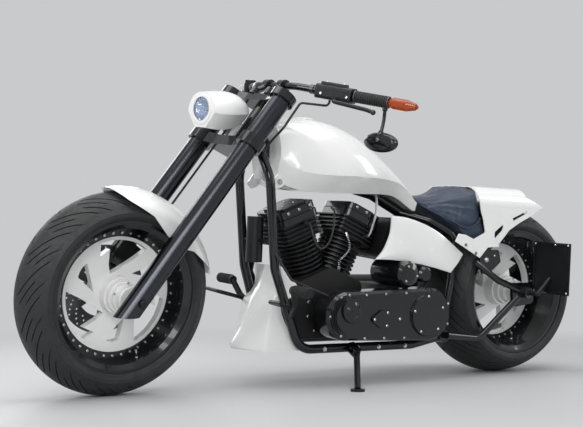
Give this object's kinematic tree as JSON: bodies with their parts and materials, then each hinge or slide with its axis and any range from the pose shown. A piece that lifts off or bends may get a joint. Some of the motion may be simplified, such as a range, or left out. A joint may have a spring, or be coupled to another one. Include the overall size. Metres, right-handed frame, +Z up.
{
  "type": "chopper motorcycle",
  "caption": "Low long chopper motorcycle leaning on its side stand: raked fork, wide billet-spoked wheels, finned vee engine, stretched tank, solo seat and chopped rear fender.",
  "frame": {"origin": "on the ground under the middle of the overall box, with the machine leaning on its side stand", "axes": "+X forwards along the wheelbase, +Y to the rider's left, +Z up"},
  "size_m": [2.3031, 1.025, 1.1085],
  "materials": {
    "tyre_rubber": "matt moulded rubber",
    "black_gloss_paint": "deep gloss black",
    "white_paint": "gloss white",
    "brake_steel": "ground steel",
    "black_satin_metal": "satin black coat",
    "dark_steel": "dark plated steel",
    "lamp_glass": "clear lens",
    "grip_rubber": "soft ribbed rubber",
    "amber_plastic": "amber lens",
    "belt_rubber": "toothed belt",
    "line_rubber": "smooth black hose",
    "seat_leather": "dark creased leather"
  },
  "bodies": {
    "chassis": {"clutch_line_lower": "line_rubber", "frame_backbone": "black_gloss_paint", "frame_side_left": "black_gloss_paint", "swingarm_left": "black_gloss_paint", "frame_side_right": "black_gloss_paint", "swingarm_right": "black_gloss_paint", "rear_axle": "dark_steel", "rear_caliper": "black_satin_metal", "engine_cylinder_front": "black_satin_metal", "engine_cylinder_rear": "black_satin_metal", "cylinder_heads": "black_satin_metal", "rocker_covers": "black_gloss_paint", "crankcase": "black_satin_metal", "primary_cover": "black_gloss_paint", "starter_motor": "black_gloss_paint", "gearbox": "black_satin_metal", "drive_belt": "belt_rubber", "cam_cover": "black_gloss_paint", "air_cleaner": "black_gloss_paint", "exhaust_pipes": "black_satin_metal", "fuel_tank": "white_paint", "seat_pad": "seat_leather", "rear_fender": "white_paint", "tyre_hugger": "black_satin_metal", "oil_tank": "black_satin_metal", "side_covers": "white_paint", "chin_spoiler": "white_paint", "regulator_can": "black_satin_metal", "plate_holder": "black_satin_metal", "foot_controls": "black_satin_metal"},
    "fork": {"fork_leg_left": "black_gloss_paint", "fork_leg_right": "black_gloss_paint", "front_axle": "dark_steel", "lower_clamp": "black_gloss_paint", "upper_clamp": "black_gloss_paint", "front_fender": "white_paint", "front_caliper": "black_satin_metal", "headlight": "white_paint", "headlight_lens": "lamp_glass", "handlebar": "black_gloss_paint", "grips": "grip_rubber", "hand_control_left": "black_satin_metal", "hand_control_right": "black_satin_metal", "mirrors": "black_gloss_paint", "turn_signals": "amber_plastic", "risers": "black_gloss_paint", "brake_hose": "line_rubber", "clutch_line_upper": "line_rubber"},
    "front_wheel": {"front_tyre": "tyre_rubber", "front_rim": "black_gloss_paint", "front_wheel_centre": "white_paint", "front_disc": "brake_steel"},
    "rear_wheel": {"rear_tyre": "tyre_rubber", "rear_rim": "black_gloss_paint", "rear_wheel_centre": "white_paint", "rear_pulley": "black_satin_metal", "rear_disc": "brake_steel"},
    "stand": {"side_stand": "black_satin_metal"}
  },
  "joints": [
    {"name": "steering", "type": "hinge", "parent": "chassis", "child": "fork", "pos_m": [0.78541, -0.04057, 0.29591], "axis": [-0.5868, 0.0706, 0.8066], "range_deg": [-36, 20]},
    {"name": "front_wheel_spin", "type": "hinge", "parent": "fork", "child": "front_wheel", "pos_m": [0.8255, -0.03111, 0.32425], "axis": [-0.1127, 0.9794, -0.1677], "continuous": true},
    {"name": "rear_wheel_spin", "type": "hinge", "parent": "chassis", "child": "rear_wheel", "pos_m": [-0.8181, -0.03733, 0.33304], "axis": [0, 0.9962, -0.0872], "continuous": true},
    {"name": "side_stand_swing", "type": "hinge", "parent": "chassis", "child": "stand", "pos_m": [-0.01834, 0.11603, 0.1124], "axis": [0.124, 0.5135, 0.8491], "range_deg": [0, 109.8]}
  ]
}
